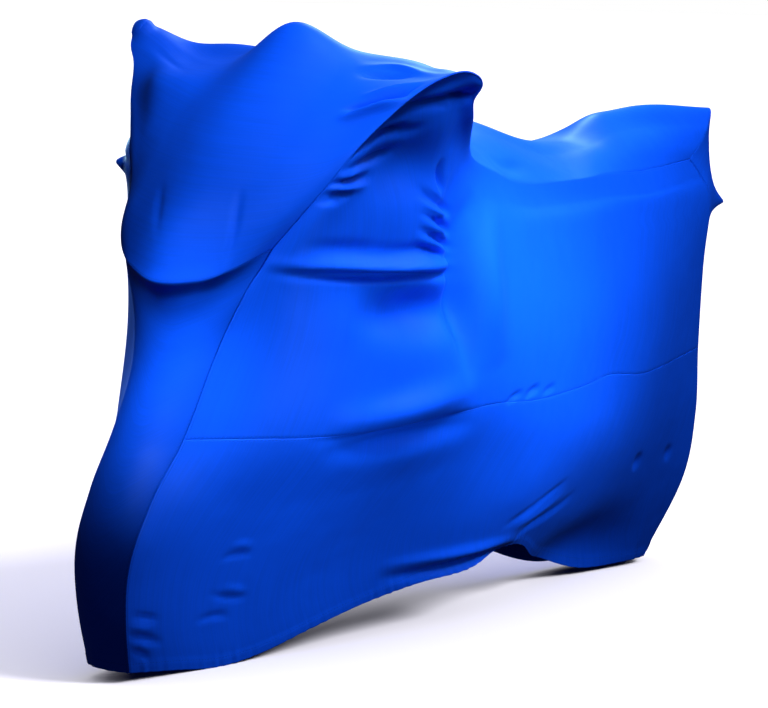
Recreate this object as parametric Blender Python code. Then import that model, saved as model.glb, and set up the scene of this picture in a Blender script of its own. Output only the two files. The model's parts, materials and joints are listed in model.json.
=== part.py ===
"""Fitted stretch cover for a motorcycle, in the shape it hangs in.

Seven sewn panels of knitted stretch cloth: a top panel over the nose, mirrors, tank and seat,
a narrow strip down the front and the rear, and an upper and a lower side panel on each side.
Metres, +Z up. The machine lies along X with its front at -X, and its left side faces -Y.
The form is described upright first, then it leans to the left as on a side stand.
"""

import math

import bmesh
import bpy
import numpy as np
from mathutils.kdtree import KDTree

# Driving dimensions
CLOTH = 0.002
HEM_CLOTH = 0.003
SEAM_GAP = 0.0006
LEAN = math.radians(5.7)

# Grid steps: between stations along the machine, and over half of the top panel
STEPS_PER_STATION = 3
STEPS_TOP_HALF = 6

# Long lines of the form. Columns: x, half width, height; one row a station, front to rear
RIDGE = (
    (-0.860, 0.000, 0.810), (-0.825, 0.000, 0.925), (-0.735, 0.000, 1.065), (-0.620, 0.000, 1.200),
    (-0.490, 0.000, 1.315), (-0.390, 0.000, 1.270), (-0.245, 0.000, 1.180), (-0.060, 0.000, 1.110),
    (0.130, 0.000, 1.090), (0.385, 0.000, 1.030), (0.555, 0.000, 1.060), (0.790, 0.000, 1.090),
    (1.090, 0.000, 1.070),
)
CROWN = (
    (-0.825, 0.090, 0.825), (-0.775, 0.120, 0.940), (-0.690, 0.150, 1.070), (-0.580, 0.165, 1.190),
    (-0.455, 0.165, 1.260), (-0.365, 0.155, 1.265), (-0.230, 0.125, 1.160), (-0.050, 0.095, 1.090),
    (0.120, 0.080, 1.065), (0.365, 0.065, 1.005), (0.535, 0.065, 1.030), (0.735, 0.060, 1.050),
    (1.020, 0.050, 1.035),
)
WING = (
    (-0.780, 0.140, 0.855), (-0.720, 0.195, 0.970), (-0.640, 0.250, 1.095), (-0.545, 0.290, 1.210),
    (-0.440, 0.305, 1.250), (-0.350, 0.270, 1.250), (-0.220, 0.190, 1.140), (-0.050, 0.160, 1.060),
    (0.110, 0.140, 1.030), (0.355, 0.120, 0.985), (0.505, 0.110, 1.000), (0.700, 0.100, 1.010),
    (0.955, 0.075, 1.000),
)
SEAM = (
    (-0.720, 0.180, 0.895), (-0.665, 0.250, 1.015), (-0.600, 0.320, 1.145), (-0.515, 0.395, 1.250),
    (-0.420, 0.430, 1.260), (-0.345, 0.375, 1.170), (-0.200, 0.270, 1.070), (-0.050, 0.220, 1.020),
    (0.105, 0.190, 0.980), (0.340, 0.165, 0.970), (0.480, 0.145, 0.970), (0.670, 0.125, 0.965),
    (0.900, 0.085, 0.970),
)
BELT = (
    (-0.850, 0.095, 0.505), (-0.740, 0.170, 0.510), (-0.640, 0.210, 0.510), (-0.535, 0.240, 0.510),
    (-0.430, 0.250, 0.510), (-0.310, 0.255, 0.505), (-0.185, 0.255, 0.515), (-0.045, 0.250, 0.525),
    (0.125, 0.245, 0.515), (0.320, 0.230, 0.520), (0.480, 0.205, 0.525), (0.680, 0.170, 0.505),
    (1.020, 0.080, 0.515),
)
HEM = (
    (-0.920, 0.055, 0.030), (-0.810, 0.080, 0.020), (-0.690, 0.095, 0.010), (-0.570, 0.110, 0.025),
    (-0.435, 0.135, 0.065), (-0.295, 0.155, 0.100), (-0.145, 0.175, 0.125), (0.020, 0.185, 0.135),
    (0.190, 0.165, 0.155), (0.320, 0.125, 0.135), (0.450, 0.110, 0.070), (0.655, 0.085, 0.020),
    (0.895, 0.060, 0.030),
)

# Half widths of the levels between those lines, at the stations between the two ends
BROW_WIDTHS = (0.255, 0.320, 0.390, 0.430, 0.370, 0.270, 0.230, 0.205, 0.180, 0.160, 0.140)
SHOULDER_WIDTHS = (0.235, 0.260, 0.280, 0.295, 0.300, 0.275, 0.250, 0.225, 0.205, 0.180, 0.155)
WAIST_WIDTHS = (0.190, 0.235, 0.265, 0.280, 0.280, 0.270, 0.255, 0.245, 0.230, 0.205, 0.175)
BELLY_WIDTHS = (0.140, 0.170, 0.195, 0.215, 0.230, 0.240, 0.245, 0.245, 0.235, 0.205, 0.165)
SKIRT_WIDTHS = (0.105, 0.130, 0.150, 0.170, 0.190, 0.210, 0.225, 0.225, 0.200, 0.170, 0.130)

# Where those levels lie: the brow, belly and skirt as a share of the way from the seam to the
# belt or from the belt to the hem, the shoulder and the waist at one height all along
BROW_SHARE = 0.10
SHOULDER_HEIGHT = 0.880
WAIST_HEIGHT = 0.700
BELLY_SHARE = 0.33
SKIRT_SHARE = 0.67

# Upright edges, from the top seam to the hem: brow, shoulder, waist, belt, belly, skirt levels
FRONT_EDGE = (
    (-0.735, 0.170, 0.860), (-0.760, 0.150, 0.800), (-0.790, 0.115, 0.680), (-0.850, 0.095, 0.505),
    (-0.920, 0.080, 0.380), (-0.960, 0.070, 0.235),
)
REAR_EDGE = (
    (0.950, 0.085, 0.930), (0.990, 0.090, 0.870), (1.010, 0.080, 0.700), (1.020, 0.080, 0.515),
    (1.020, 0.090, 0.360), (0.990, 0.090, 0.205),
)

# Middle lines of the two strips below the top panel. Columns: x, height
FRONT_MIDDLE = (
    (-0.840, 0.775), (-0.835, 0.715), (-0.860, 0.620), (-0.905, 0.505), (-0.965, 0.380),
    (-1.015, 0.220), (-0.970, 0.035),
)
REAR_MIDDLE = (
    (1.080, 1.000), (1.065, 0.880), (1.055, 0.700), (1.075, 0.515), (1.080, 0.350),
    (1.055, 0.190), (0.975, 0.040),
)

# Rows of the side panels, in levels: 0 seam, 1 brow, 2 shoulder, 3 waist, 4 belt, 5, 6, 7 hem
UPPER_ROWS = (0.0, 0.5, 1.0, 1.35, 1.7, 2.0, 2.2, 2.4, 2.7, 3.0, 3.4, 3.75, 4.0)
LOWER_ROWS = (4.0, 4.2, 4.5, 4.85, 5.2, 5.6, 6.0, 6.4, 6.85, 7.0)
HEM_LEVEL = 6.84

# Places where something hard under the cloth pushes it out. Columns: name, point, push,
# reach, and whether it is a point drawn out like a tent or a round swelling; sides +1 and -1
PUSHES = (
    ("left mirror end", (-0.400, 0.440, 1.235), (0.012, 0.006, 0.000), 0.045, "round", (-1,)),
    ("left mirror top", (-0.460, 0.415, 1.262), (0.000, 0.004, 0.010), 0.040, "round", (-1,)),
    ("right mirror end", (-0.410, 0.440, 1.240), (0.000, 0.018, 0.000), 0.050, "round", (1,)),
    ("sag beside the screen", (-0.400, 0.200, 1.270), (0.000, 0.000, -0.030), 0.100, "round", (1,)),
    ("indicator", (-0.610, 0.285, 0.985), (-0.050, 0.030, 0.010), 0.042, "tent", (1,)),
    ("plate", (1.060, -0.030, 0.875), (0.068, -0.015, -0.015), 0.045, "tent", (1,)),
)

# Main folds of the side panels. Columns: name, side (-1 left, +1 right), height out of the
# cloth (negative for a valley), half width, and the line as (x, height) points
FOLDS = (
    ("shoulder roll", -1, 0.012, 0.025, ((-0.620, 0.875), (-0.500, 0.870), (-0.240, 0.870))),
    ("under the roll", -1, -0.012, 0.030, ((-0.580, 0.825), (-0.490, 0.815), (-0.230, 0.815))),
    ("crease", -1, -0.012, 0.040, ((-0.185, 0.970), (-0.210, 0.850), (-0.180, 0.700), (-0.130, 0.540))),
    ("belt roll", -1, -0.010, 0.030, ((-0.470, 0.480), (-0.360, 0.490), (-0.150, 0.495))),
    ("rear tuck", -1, -0.008, 0.040, ((0.150, 0.225), (0.340, 0.235), (0.480, 0.280))),
    ("hem pull", -1, 0.008, 0.030, ((-0.250, 0.150), (-0.080, 0.170), (0.180, 0.185))),
    ("shoulder roll", 1, 0.010, 0.035, ((-0.660, 0.850), (-0.450, 0.860), (-0.280, 0.820))),
    ("crease", 1, -0.014, 0.040, ((-0.200, 0.980), (-0.190, 0.840), (-0.150, 0.650), (-0.120, 0.520))),
    ("belt roll", 1, -0.008, 0.035, ((-0.560, 0.475), (-0.400, 0.485), (-0.260, 0.480))),
    ("rear tuck", 1, -0.012, 0.050, ((0.230, 0.220), (0.430, 0.190), (0.640, 0.180))),
)

CLOTH_BLUE = "1a5fe8"

# How far down the strips' top edge still follows the end of the top panel, in levels
STRIP_FADE = 2.0

# A point well inside the cover: its share of a panel's own x and y, and its height
INSIDE_X_SHARE = 0.5
INSIDE_Y_SHARE = 0.2
INSIDE_HEIGHT = 0.6

# Points nearer than this are one place on a seam; the mitre there is at most 1 / SHARPEST_MITRE
SAME_PLACE = 1e-5
SHARPEST_MITRE = 0.6
SHARP_EDGE = math.radians(50)


def catmull_rom(points, places, axis=0):
    """Smooth curve through equally numbered points, read at fractional places."""
    points = np.moveaxis(np.asarray(points, float), axis, 0)
    places = np.asarray(places, float)
    first = 2 * points[0] - points[1]
    last = 2 * points[-1] - points[-2]
    padded = np.concatenate([[first], points, [last]])
    start = np.clip(np.floor(places).astype(int), 0, len(points) - 2)
    f = (places - start).reshape((-1,) + (1,) * (points.ndim - 1))
    a, b, c, d = (padded[start + k] for k in range(4))
    curve = 0.5 * (2 * b + (c - a) * f + (2 * a - 5 * b + 4 * c - d) * f**2 + (3 * b - a - 3 * c + d) * f**3)
    return np.moveaxis(curve, 0, axis)


def level_between(upper, lower, share, widths):
    """Line at a share of the way down between two lines, with its own half widths."""
    line = upper + (lower - upper) * share
    line[1:-1, 1] = widths
    return line


def share_at(upper, lower, height):
    """Share of the way down between two lines at which they pass one height."""
    return (upper[:, 2:] - height) / (upper[:, 2:] - lower[:, 2:])


def side_cage():
    """Coarse points of one side: levels down, stations along, as x, half width, height."""
    seam, belt, hem = (np.array(line) for line in (SEAM, BELT, HEM))
    cage = np.array([
        seam,
        level_between(seam, belt, BROW_SHARE, BROW_WIDTHS),
        level_between(seam, belt, share_at(seam, belt, SHOULDER_HEIGHT), SHOULDER_WIDTHS),
        level_between(seam, belt, share_at(seam, belt, WAIST_HEIGHT), WAIST_WIDTHS),
        belt,
        level_between(belt, hem, BELLY_SHARE, BELLY_WIDTHS),
        level_between(belt, hem, SKIRT_SHARE, SKIRT_WIDTHS),
        hem,
    ])
    cage[1:-1, 0] = FRONT_EDGE
    cage[1:-1, -1] = REAR_EDGE
    return cage


def strip_points(middle, side_edge, top_edge, levels):
    """A strip that bows out from its side edges to its middle line, below the top panel's end."""
    middle = catmull_rom(middle, levels)
    side_edge = catmull_rom(side_edge, levels)
    across = np.linspace(-1, 1, len(top_edge))[:, None]
    points = np.empty((len(top_edge), len(levels), 3))
    points[..., 0] = middle[:, 0] + (side_edge[:, 0] - middle[:, 0]) * across**2
    points[..., 1] = side_edge[:, 1] * across
    points[..., 2] = middle[:, 1] + (side_edge[:, 2] - middle[:, 1]) * across**2
    fade = np.clip(1 - np.array(levels) / STRIP_FADE, 0, 1) ** 2
    points += (top_edge - points[:, 0])[:, None, :] * fade[None, :, None]
    return points


def surface_normals(grid):
    """Unit normal at each point of a grid, from the slopes along its two directions."""
    normals = np.cross(np.gradient(grid, axis=0), np.gradient(grid, axis=1))
    return normals / np.linalg.norm(normals, axis=-1, keepdims=True)


def distance_to_line(x, z, line):
    """Shortest distance in side view from each point to a line of straight runs."""
    place = np.stack([x, z], -1)
    nearest = np.full(x.shape, np.inf)
    for start, end in zip(np.array(line[:-1]), np.array(line[1:])):
        run = end - start
        share = np.clip(((place - start) @ run) / (run @ run), 0, 1)
        gap = np.linalg.norm(place - start - share[..., None] * run, axis=-1)
        nearest = np.minimum(nearest, gap)
    return nearest


def fold_side(grid, side):
    """Raise the folds of one side panel and sink its valleys, along the surface normal."""
    normals = surface_normals(grid)
    normals *= np.sign(normals[..., 1:2].mean()) * side
    height = np.zeros(grid.shape[:2])
    for _, fold_at, rise, half_width, line in FOLDS:
        if fold_at == side:
            height += rise * np.exp(-(distance_to_line(grid[..., 0], grid[..., 2], line) / half_width) ** 2)
    return grid + normals * height[..., None]


def push_out(grid):
    """Move the cloth where hard things under it push it out."""
    moved = grid.copy()
    for _, point, push, reach, kind, sides in PUSHES:
        for side in sides:
            mirror = np.array([1, side, 1])
            distance = np.linalg.norm(grid - np.array(point) * mirror, axis=-1) / reach
            share = np.exp(-distance**2) if kind == "round" else np.exp(-distance)
            moved += share[..., None] * (np.array(push) * mirror)
    return moved


def lean_left(grid):
    """Turn the upright form about the X axis so that it leans toward -Y."""
    y, z = grid[..., 1].copy(), grid[..., 2].copy()
    leaned = grid.copy()
    leaned[..., 1] = y * math.cos(LEAN) - z * math.sin(LEAN)
    leaned[..., 2] = z * math.cos(LEAN) + y * math.sin(LEAN)
    return leaned


def panel_grids():
    """Outer surface of every panel as a grid of points, all sharing their seam lines."""
    cage = side_cage()
    stations = len(RIDGE)
    along = np.linspace(0, stations - 1, (stations - 1) * STEPS_PER_STATION + 1)
    half = [np.array(line) for line in (RIDGE, CROWN, WING, SEAM)]
    mirrored = [line * (1, -1, 1) for line in half[:0:-1]]
    top = catmull_rom(catmull_rom(np.array(mirrored + half), along, axis=1),
                      np.linspace(0, 6, 2 * STEPS_TOP_HALF + 1))
    long_grid = catmull_rom(cage, along, axis=1)
    grids = {"top_panel": top}
    for side, word in ((-1, "left"), (1, "right")):
        for rows, part in ((UPPER_ROWS, "upper"), (LOWER_ROWS, "lower")):
            grids[f"{part}_side_{word}"] = catmull_rom(long_grid, rows) * (1, side, 1)
    levels = UPPER_ROWS + LOWER_ROWS[1:]
    front_middle = ((RIDGE[0][0], RIDGE[0][2]),) + FRONT_MIDDLE
    rear_middle = ((RIDGE[-1][0], RIDGE[-1][2]),) + REAR_MIDDLE
    grids["front_strip"] = strip_points(front_middle, cage[:, 0], top[:, 0], levels)
    grids["rear_strip"] = strip_points(rear_middle, cage[:, -1], top[:, -1], levels)
    for word, side in (("left", -1), ("right", 1)):
        whole = np.concatenate([grids[f"upper_side_{word}"], grids[f"lower_side_{word}"][1:]])
        folded = fold_side(whole, side)
        folded[0] = whole[0]
        folded[:, 0] = whole[:, 0]
        folded[:, -1] = whole[:, -1]
        split = len(UPPER_ROWS)
        grids[f"upper_side_{word}"] = folded[:split]
        grids[f"lower_side_{word}"] = folded[split - 1:]
    return {name: lean_left(push_out(grid)) for name, grid in grids.items()}


def outward_normals(grids):
    """Normals that point out of the cover, shared along the seams so that the cloth is mitred."""
    normals = {}
    for name, grid in grids.items():
        own = surface_normals(grid)
        centre = grid.mean(axis=(0, 1))
        inside = (centre[0] * INSIDE_X_SHARE, centre[1] * INSIDE_Y_SHARE, INSIDE_HEIGHT)
        outward = ((grid - inside) * own).sum(-1).mean()
        normals[name] = own * (1 if outward > 0 else -1)
    names = list(grids)
    points = np.concatenate([grids[name].reshape(-1, 3) for name in names])
    flat = np.concatenate([normals[name].reshape(-1, 3) for name in names])
    tree = KDTree(len(points))
    for index, point in enumerate(points):
        tree.insert(point, index)
    tree.balance()
    shared = np.empty_like(flat)
    for index, point in enumerate(points):
        meeting = flat[[found[1] for found in tree.find_range(point, SAME_PLACE)]]
        mean = meeting.sum(axis=0)
        mean /= np.linalg.norm(mean)
        shared[index] = mean / max(SHARPEST_MITRE, float((meeting @ mean).min()))
    start = 0
    for name in names:
        count = grids[name][..., 0].size
        normals[name] = shared[start:start + count].reshape(grids[name].shape)
        start += count
    return normals


def trim_edge(outer, inner, edge, axis):
    """Pull one sewn edge back by half the seam gap, square to the edge."""
    outer, inner = (np.moveaxis(grid, axis, 0) for grid in (outer, inner))
    next_row = 1 if edge == 0 else -2
    run = np.gradient(outer[edge], axis=0)
    run /= np.linalg.norm(run, axis=-1, keepdims=True)
    back = outer[next_row] - outer[edge]
    back -= (back * run).sum(-1, keepdims=True) * run
    back /= np.linalg.norm(back, axis=-1, keepdims=True)
    outer[edge] += back * SEAM_GAP / 2
    inner[edge] += back * SEAM_GAP / 2


def cloth_material(name):
    """Satin knitted cloth in one plain blue."""
    material = bpy.data.materials.new(f"{name}_stretch_cloth")
    material.use_nodes = True
    shader = material.node_tree.nodes["Principled BSDF"]
    channels = [int(CLOTH_BLUE[k:k + 2], 16) / 255 for k in (0, 2, 4)]
    linear = [c / 12.92 if c <= 0.04045 else ((c + 0.055) / 1.055) ** 2.4 for c in channels]
    shader.inputs["Base Color"].default_value = (*linear, 1)
    shader.inputs["Roughness"].default_value = 0.6
    shader.inputs["Metallic"].default_value = 0
    return material


def build_panel(name, outer, inner, collection):
    """Closed sheet between an outer and an inner grid of points."""
    rows, columns = outer.shape[:2]
    sheet = bmesh.new()
    bmesh.ops.create_grid(sheet, x_segments=columns - 1, y_segments=rows - 1, size=1)
    place = sheet.verts.layers.int.new("place")
    for index, vertex in enumerate(sheet.verts):
        vertex[place] = index
        vertex.co = outer.reshape(-1, 3)[index]
    bmesh.ops.triangulate(sheet, faces=sheet.faces[:], quad_method="FIXED")
    extruded = bmesh.ops.extrude_face_region(sheet, geom=sheet.faces[:])
    for item in extruded["geom"]:
        if isinstance(item, bmesh.types.BMVert):
            item.co = inner.reshape(-1, 3)[item[place]]
    bmesh.ops.recalc_face_normals(sheet, faces=sheet.faces[:])
    mesh = bpy.data.meshes.new(name)
    sheet.to_mesh(mesh)
    sheet.free()
    mesh.shade_smooth()
    mesh.set_sharp_from_angle(angle=SHARP_EDGE)
    mesh.materials.append(cloth_material(name))
    panel = bpy.data.objects.new(name, mesh)
    collection.objects.link(panel)


def main():
    for old in list(bpy.data.objects):
        bpy.data.objects.remove(old)
    collection = bpy.data.collections.new("motorcycle_cover")
    bpy.context.scene.collection.children.link(collection)
    grids = panel_grids()
    everything = np.concatenate([grid.reshape(-1, 3) for grid in grids.values()])
    low, high = everything.min(axis=0), everything.max(axis=0)
    foot = np.array([(low[0] + high[0]) / 2, (low[1] + high[1]) / 2, low[2]])
    grids = {name: grid - foot for name, grid in grids.items()}
    normals = outward_normals(grids)
    levels = np.array(LOWER_ROWS)
    strip_levels = np.array(UPPER_ROWS + LOWER_ROWS[1:])
    for name, outer in grids.items():
        thickness = np.full(outer.shape[:2], CLOTH)
        if name.startswith("lower"):
            thickness[levels > HEM_LEVEL] = HEM_CLOTH
        if name.endswith("strip"):
            thickness[:, strip_levels > HEM_LEVEL] = HEM_CLOTH
        outer = outer.copy()
        inner = outer - normals[name] * thickness[..., None]
        trim_edge(outer, inner, 0, 0)
        trim_edge(outer, inner, 0, 1)
        if not name.startswith("lower"):
            trim_edge(outer, inner, -1, 0)
        if not name.endswith("strip"):
            trim_edge(outer, inner, -1, 1)
        build_panel(name, outer, inner, collection)


main()
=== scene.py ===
import json
import math

import bmesh
import bpy
import numpy as np
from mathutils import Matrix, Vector

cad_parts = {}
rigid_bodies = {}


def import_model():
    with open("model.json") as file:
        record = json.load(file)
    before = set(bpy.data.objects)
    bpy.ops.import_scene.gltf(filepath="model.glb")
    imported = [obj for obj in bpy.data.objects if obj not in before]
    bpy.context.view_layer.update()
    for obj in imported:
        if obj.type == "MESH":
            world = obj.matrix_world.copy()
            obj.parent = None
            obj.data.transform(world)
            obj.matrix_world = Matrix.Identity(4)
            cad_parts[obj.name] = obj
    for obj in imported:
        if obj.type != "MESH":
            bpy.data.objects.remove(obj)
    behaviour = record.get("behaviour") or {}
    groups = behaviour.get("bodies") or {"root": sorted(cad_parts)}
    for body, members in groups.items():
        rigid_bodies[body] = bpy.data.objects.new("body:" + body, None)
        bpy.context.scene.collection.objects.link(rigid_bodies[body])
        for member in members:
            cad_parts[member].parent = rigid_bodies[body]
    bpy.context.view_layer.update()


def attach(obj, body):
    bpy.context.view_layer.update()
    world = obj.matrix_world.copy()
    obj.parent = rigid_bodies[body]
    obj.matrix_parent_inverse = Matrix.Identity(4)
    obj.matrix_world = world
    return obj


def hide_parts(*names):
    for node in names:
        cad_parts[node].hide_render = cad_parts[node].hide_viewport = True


# A fitted stretch cover: seven panels of knitted cloth, sewn edge to edge, that hang in one smooth
# skin down to an elastic hem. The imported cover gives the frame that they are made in.
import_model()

# Top panel: one wide piece of satin knit, drawn tight over the nose, the screen, both mirrors, the
# tank and the saddle. It is cut on a fold of the cloth, so its two halves are alike, and each of
# its long edges is overlocked to a side panel and topstitched.

# Lines in metres, as the cover hangs upright. Columns: x, half width, height; front to rear
RIDGE = (
    (-0.860, 0.000, 0.810), (-0.825, 0.000, 0.925), (-0.735, 0.000, 1.065), (-0.620, 0.000, 1.200),
    (-0.490, 0.000, 1.315), (-0.390, 0.000, 1.270), (-0.245, 0.000, 1.180), (-0.060, 0.000, 1.110),
    (0.130, 0.000, 1.090), (0.385, 0.000, 1.030), (0.555, 0.000, 1.060), (0.790, 0.000, 1.090),
    (1.090, 0.000, 1.070),
)
CROWN = (
    (-0.825, 0.090, 0.825), (-0.775, 0.120, 0.940), (-0.690, 0.150, 1.070), (-0.580, 0.165, 1.190),
    (-0.455, 0.165, 1.260), (-0.365, 0.155, 1.265), (-0.230, 0.125, 1.160), (-0.050, 0.095, 1.090),
    (0.120, 0.080, 1.065), (0.365, 0.065, 1.005), (0.535, 0.065, 1.030), (0.735, 0.060, 1.050),
    (1.020, 0.050, 1.035),
)
WING = (
    (-0.780, 0.140, 0.855), (-0.720, 0.195, 0.970), (-0.640, 0.250, 1.095), (-0.545, 0.290, 1.210),
    (-0.440, 0.305, 1.250), (-0.350, 0.270, 1.250), (-0.220, 0.190, 1.140), (-0.050, 0.160, 1.060),
    (0.110, 0.140, 1.030), (0.355, 0.120, 0.985), (0.505, 0.110, 1.000), (0.700, 0.100, 1.010),
    (0.955, 0.075, 1.000),
)
SEAM = (
    (-0.720, 0.180, 0.895), (-0.665, 0.250, 1.015), (-0.600, 0.320, 1.145), (-0.515, 0.395, 1.250),
    (-0.420, 0.430, 1.260), (-0.345, 0.375, 1.170), (-0.200, 0.270, 1.070), (-0.050, 0.220, 1.020),
    (0.105, 0.190, 0.980), (0.340, 0.165, 0.970), (0.480, 0.145, 0.970), (0.670, 0.125, 0.965),
    (0.900, 0.085, 0.970),
)

# The upright form leans to the left, and the frame's origin is then at this point of it
LEAN = math.radians(5.7)
FOOT = np.array([0.0512, -0.1172, 0.0005])

# Cloth: its thickness, how deep and how wide the stitches of a seam draw it in, the distance to
# the hem that a panel without a hem is given, and a height that is inside the cover all along it
KNIT_THICKNESS = 0.0016
SEAM_DIP = 0.0008
SEAM_DIP_WIDTH = 0.006
NO_HEM = 1.0
INSIDE_HEIGHT = 0.5

# Spacing of the sheet's points: over the cloth, at set distances beside a seam, and how near to
# those no other point may be. The spacing of the rows is measured at the stations, numbered from
# the front. The last value is the direction that the panel faces
COLUMN_STEP = 0.0058
TOP_ROW_STEP = 0.006
SEAM_STEPS = (0.0015, 0.003, 0.005, 0.008)
SEAM_CLEARANCE = 0.0025
TOP_STATIONS = (0, 3, 6, 9, 12)
TOP_FACES = (-0.3, 0, 1)

# What pushes the cloth out from under it, or where it sags. Columns: name, point, push, reach, and
# whether it is a point drawn out like a tent or a round swelling; sides: -1 left, +1 right
PUSHES = (
    ("left mirror stalk", (-0.400, 0.355, 1.255), (0.000, 0.000, 0.015), 0.050, "round", (-1,)),
    ("left mirror top", (-0.460, 0.415, 1.262), (0.000, 0.004, 0.006), 0.040, "round", (-1,)),
    ("left mirror end", (-0.405, 0.440, 1.222), (0.009, 0.011, 0.000), 0.035, "round", (-1,)),
    ("right mirror end", (-0.410, 0.440, 1.240), (0.000, 0.018, 0.000), 0.050, "round", (1,)),
    ("right mirror side", (-0.510, 0.400, 1.250), (-0.014, 0.018, 0.000), 0.050, "round", (1,)),
    ("hood right of the screen", (-0.510, 0.200, 1.190), (-0.014, 0.000, 0.014), 0.090, "round", (1,)),
    ("right mirror head", (-0.455, 0.385, 1.255), (-0.006, 0.000, 0.013), 0.055, "round", (1,)),
    ("sag right of the screen", (-0.480, 0.215, 1.230), (0.012, 0.000, -0.044), 0.160, "round", (1,)),
    ("screen top", (-0.485, -0.010, 1.310), (0.000, 0.000, 0.010), 0.070, "round", (1,)),
    ("sag left of the screen", (-0.395, 0.085, 1.270), (0.000, 0.000, -0.010), 0.070, "round", (-1,)),
    ("right indicator", (-0.610, 0.285, 0.988), (-0.066, 0.043, 0.012), 0.030, "tent", (1,)),
    ("left mirror neck", (-0.400, 0.405, 1.190), (-0.008, -0.010, 0.000), 0.035, "round", (-1,)),
    ("right cheek middle", (-0.610, 0.330, 1.130), (0.024, 0.027, 0.000), 0.075, "round", (1,)),
    ("right cheek top", (-0.530, 0.390, 1.210), (0.020, 0.016, 0.000), 0.055, "round", (1,)),
    ("right fork", (-0.810, 0.115, 0.610), (0.008, -0.009, 0.000), 0.110, "round", (1,)),
    ("right hood", (-0.580, 0.235, 1.165), (-0.020, -0.004, 0.016), 0.070, "round", (1,)),
    ("right nose", (-0.780, 0.160, 0.880), (-0.014, 0.018, 0.000), 0.090, "round", (1,)),
    ("turned wheel left", (-0.960, 0.070, 0.320), (-0.030, 0.024, 0.000), 0.120, "round", (-1,)),
    ("turned wheel left foot", (-0.950, 0.060, 0.120), (-0.030, 0.024, 0.000), 0.120, "round", (-1,)),
    ("turned wheel right", (-0.960, 0.070, 0.320), (-0.010, -0.002, 0.000), 0.110, "round", (1,)),
    ("turned wheel right foot", (-0.950, 0.060, 0.120), (-0.010, -0.002, 0.000), 0.110, "round", (1,)),
    ("pillion front", (0.620, 0.000, 1.070), (0.000, 0.000, 0.004), 0.060, "round", (-1, 1)),
    ("saddle back", (0.520, 0.000, 1.045), (0.000, 0.000, -0.014), 0.070, "round", (-1, 1)),
    ("plate", (1.060, -0.030, 0.865), (0.082, -0.015, -0.018), 0.032, "tent", (1,)),
)

# Mirror heads that the cloth is drawn tightly round. Columns: name, middle, direction of the end,
# radius of the end. The round cap starts at the cosine CAP_START to the end's direction, is full
# CAP_SPAN further on, and lets go at CAP_REACH radii
MIRRORS = (
    ("left", (-0.410, -0.446, 1.231), (0.62, -0.78, 0.00), 0.025),
    ("right", (-0.462, 0.415, 1.236), (-0.44, 0.56, 0.70), 0.038),
)
CAP_START = -0.1
CAP_SPAN = 0.8
CAP_REACH = 2.5

# Folds of the top panel. Columns: name, height out of the cloth (negative for a valley), half
# width, and the line as (x, y, height) points
TOP_FOLDS = (
    ("pull to the left mirror", 0.007, 0.013, (
        (-0.478, -0.166, 1.251), (-0.436, -0.245, 1.254), (-0.470, -0.400, 1.265))),
    ("pull to the left mirror", -0.007, 0.010, (
        (-0.500, -0.185, 1.237), (-0.481, -0.230, 1.240), (-0.462, -0.300, 1.245))),
    ("left mirror ridge", 0.012, 0.011, (
        (-0.605, -0.225, 1.155), (-0.572, -0.287, 1.184), (-0.557, -0.345, 1.204),
        (-0.542, -0.372, 1.220))),
    ("left mirror valley", -0.016, 0.009, (
        (-0.592, -0.222, 1.172), (-0.563, -0.291, 1.197), (-0.535, -0.360, 1.225))),
    ("left mirror ridge", 0.006, 0.009, (
        (-0.560, -0.235, 1.200), (-0.525, -0.300, 1.222), (-0.490, -0.370, 1.245))),
    ("left mirror valley", -0.009, 0.009, (
        (-0.575, -0.262, 1.186), (-0.535, -0.330, 1.216), (-0.500, -0.390, 1.240))),
    ("pull to the right mirror", 0.002, 0.012, (
        (-0.520, 0.150, 1.250), (-0.480, 0.240, 1.255), (-0.455, 0.370, 1.262))),
    ("pull to the right mirror", -0.002, 0.010, (
        (-0.560, 0.190, 1.215), (-0.530, 0.270, 1.225), (-0.500, 0.360, 1.245))),
    ("right cheek ridge", 0.007, 0.030, (
        (-0.490, 0.330, 1.230), (-0.560, 0.270, 1.185), (-0.620, 0.225, 1.110), (-0.670, 0.195, 1.030))),
    ("nose dart", -0.004, 0.007, (
        (-0.798, -0.123, 0.846), (-0.783, -0.127, 0.909), (-0.760, -0.116, 0.976),
        (-0.735, -0.105, 1.020))),
    ("nose dart", -0.003, 0.010, (
        (-0.837, 0.021, 0.889), (-0.800, 0.050, 0.945), (-0.763, 0.080, 0.998))),
    ("seat dip", -0.004, 0.018, ((0.000, -0.180, 1.030), (0.090, -0.165, 1.010), (0.190, -0.140, 1.000))),
    ("seat dip", -0.004, 0.020, ((0.030, 0.180, 1.020), (0.120, 0.160, 1.005), (0.230, 0.130, 0.998))),
    ("pillion hollow", -0.004, 0.050, (
        (0.560, -0.040, 1.045), (0.720, -0.040, 1.060), (0.900, -0.045, 1.045))),
    ("screen foot", -0.005, 0.030, (
        (-0.330, -0.150, 1.235), (-0.250, -0.150, 1.160), (-0.160, -0.130, 1.110))),
    ("screen foot", -0.005, 0.030, (
        (-0.330, 0.170, 1.230), (-0.240, 0.160, 1.150), (-0.150, 0.140, 1.100))),
)

# Every fold is FOLD_DEPTH times its row's height, so that one value sets how strongly they show.
# It swells along its line as a sine to the power FOLD_SWELL, is worked out to FOLD_REACH half
# widths, and fades over FOLD_FADE to a sewn edge. A line has LINE_STEPS steps between two points
FOLD_DEPTH = 1.7
FOLD_SWELL = 1.3
FOLD_REACH = 3
FOLD_FADE = 0.012
LINE_STEPS = 8


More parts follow.
